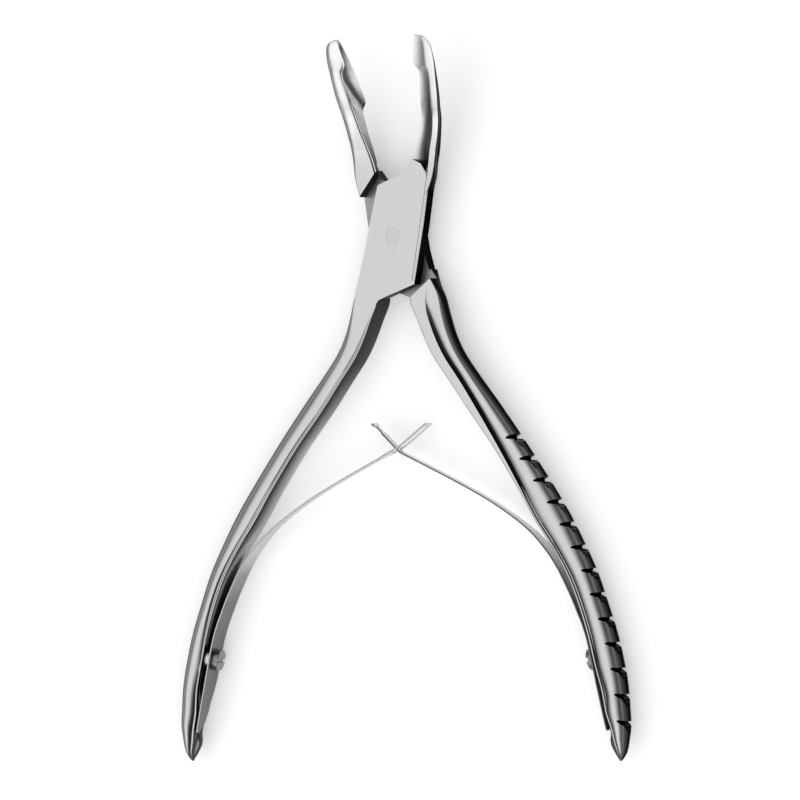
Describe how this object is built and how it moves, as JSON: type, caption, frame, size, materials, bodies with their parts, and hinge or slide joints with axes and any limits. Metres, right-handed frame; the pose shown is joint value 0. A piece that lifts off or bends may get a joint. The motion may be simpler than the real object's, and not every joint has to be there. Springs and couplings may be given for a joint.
{
  "type": "bone rongeur",
  "caption": "Spring-opened bone rongeur: two steel halves on a lap joint, cupped jaws that rise out of plane, bowed handles and interlocking leaf springs.",
  "frame": {"origin": "on the pivot axis, at the flat back face of the joint, where the pin is flush", "axes": "+Y runs from the pivot towards the jaw tips, between the two halves; +Z is the pivot axis, towards the side that the jaws rise to; +X completes the right hand, towards the serrated handle"},
  "size_m": [0.1121, 0.1706, 0.0195],
  "materials": {
    "satin_steel": "satin-ground stainless steel, polished along the rounded bars",
    "pin_steel": "peened and ground flush",
    "spring_steel": "fine ground spring steel",
    "screw_steel": "turned"
  },
  "bodies": {
    "left_half": {"left_member": "satin_steel", "pivot_pin": "pin_steel", "left_spring_screw": "screw_steel"},
    "right_half": {"right_member": "satin_steel", "right_spring_screw": "screw_steel"},
    "left_leaf": {"left_leaf_spring": "spring_steel"},
    "right_leaf": {"right_leaf_spring": "spring_steel"}
  },
  "joints": [
    {"name": "jaw_pivot", "type": "hinge", "parent": "left_half", "child": "right_half", "pos_m": [0, 0, 0], "axis": [0, 0, 1], "range_deg": [-23.2, 6], "stiffness_Nm_per_rad": 5},
    {"name": "left_spring_flex", "type": "hinge", "parent": "left_half", "child": "left_leaf", "pos_m": [-0.0385, -0.0762, 0.0044], "axis": [0, 0, 1], "range_deg": [-4.5, 15.5], "deforming": ["left_leaf_spring"]},
    {"name": "right_spring_flex", "type": "hinge", "parent": "right_half", "child": "right_leaf", "pos_m": [0.0385, -0.0762, 0.0044], "axis": [0, 0, 1], "range_deg": [-15.5, 4.5], "deforming": ["right_leaf_spring"]}
  ],
  "couplings": [
    {"joint": "left_spring_flex", "follows": "jaw_pivot", "ratio": -0.64},
    {"joint": "right_spring_flex", "follows": "jaw_pivot", "ratio": 0.64}
  ]
}
